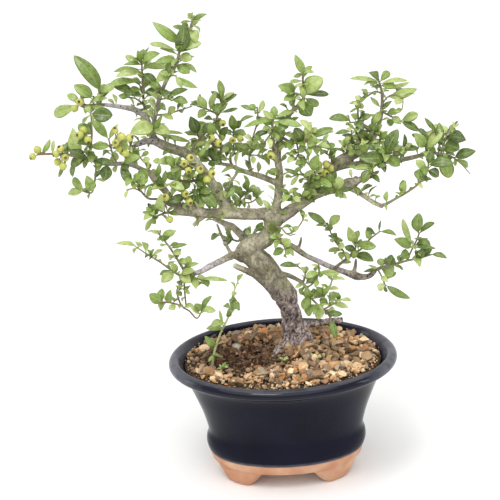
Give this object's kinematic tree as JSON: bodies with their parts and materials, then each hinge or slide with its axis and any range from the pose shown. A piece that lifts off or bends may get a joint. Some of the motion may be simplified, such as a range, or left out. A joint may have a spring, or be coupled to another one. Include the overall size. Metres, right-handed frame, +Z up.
{
  "type": "firethorn bonsai",
  "caption": "Firethorn bonsai with a curved trunk, spreading limbs, small leaves and berry bunches, in an oval glazed pot on low feet.",
  "frame": {"origin": "on the surface the pot stands on, under the middle of the whole object's box", "axes": "+Z up, +X to the right along the pot's long side, +Y to the back"},
  "size_m": [0.3274, 0.1488, 0.3746],
  "materials": {
    "glaze": "glossy dark navy glaze with a grey sheen on the lip, bare clay below the waist",
    "clay": "matte unglazed clay, salmon to tan",
    "soil": "matte grit of tan, ochre, orange and grey grains, damp and dark in one patch",
    "drain_mesh": "matte black plastic net",
    "bark": "rough grey brown bark, smoother olive grey on the limbs, with lichen and dark pits",
    "cut_wood": "pale bare wood where a limb was cut",
    "twig": "smooth green to reddish young bark",
    "leaf": "glossy green upper side, paler matte underside",
    "berry": "satin yellow green skin with a dark star at the end",
    "moss": "soft green moss"
  },
  "bodies": {
    "root": {"pot": "glaze", "soil": "soil", "drain_mesh_left": "drain_mesh", "drain_mesh_right": "drain_mesh", "trunk_and_branches": "bark", "spray_far_left": "leaf", "spray_upper_left_tip": "leaf", "spray_upper_left_shoot": "leaf", "spray_leader": "leaf", "spray_upper_left_stub": "leaf", "spray_left_tip": "leaf", "spray_left_twig": "leaf", "spray_left_cluster": "leaf", "spray_lower_left": "leaf", "spray_lower_left_pendant": "leaf", "basal_shoot": "leaf", "spray_crotch": "leaf", "spray_low_right_bush": "leaf", "spray_back_pale": "leaf", "spray_back_low": "leaf", "spray_centre_left": "leaf", "spray_centre_back": "leaf", "spray_upper_centre": "leaf", "spray_centre_mid": "leaf", "spray_crown": "leaf", "spray_centre_top": "leaf", "spray_centre_right": "leaf", "spray_right_inner_high": "leaf", "spray_right_inner_low": "leaf", "spray_right_fork": "leaf", "spray_right_arch": "leaf", "spray_right_end": "leaf", "spray_right_mid": "leaf", "spray_right_crown": "leaf", "spray_right_inner": "leaf", "spray_right_heart": "leaf", "spray_right_pocket": "leaf", "spray_right_top_twigs": "leaf", "spray_right_top_leaf": "leaf", "spray_right_low_twig": "leaf", "spray_lower_right_end": "leaf", "spray_lower_right_twig": "leaf", "spray_inner_curl": "leaf", "berries_far_left_tip": "berry", "berries_far_left": "berry", "berries_upper_left_tip": "berry", "berries_left_inner": "berry", "berries_left_upper": "berry", "berries_left_low": "berry", "berries_left_middle": "berry", "berries_left_heart": "berry", "berries_centre_left": "berry", "berries_centre_back": "berry", "berries_upper_centre": "berry", "berries_centre": "berry", "berries_right": "berry"}
  },
  "joints": []
}
